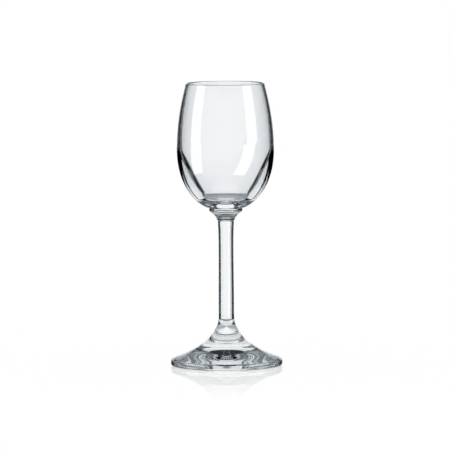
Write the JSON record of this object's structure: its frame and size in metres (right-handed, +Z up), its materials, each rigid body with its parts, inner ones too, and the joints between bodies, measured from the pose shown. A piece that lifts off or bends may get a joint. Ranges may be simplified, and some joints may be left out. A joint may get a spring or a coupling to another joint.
{
  "type": "cordial glass",
  "caption": "Small stemmed cordial glass: thick-based blown bowl on a flared neck button, a solid drawn stem and a conical foot.",
  "frame": {"origin": "centre of the foot, on the table plane that the glass stands on", "axes": "+Z up along the axis of the glass, from foot to rim; X and Y are alike because the glass is round"},
  "size_m": [0.0532, 0.0532, 0.135],
  "materials": {
    "clear_glass": "fire polished, clear"
  },
  "bodies": {
    "root": {"foot": "clear_glass", "stem": "clear_glass", "neck_button": "clear_glass", "bowl": "clear_glass"}
  },
  "joints": []
}
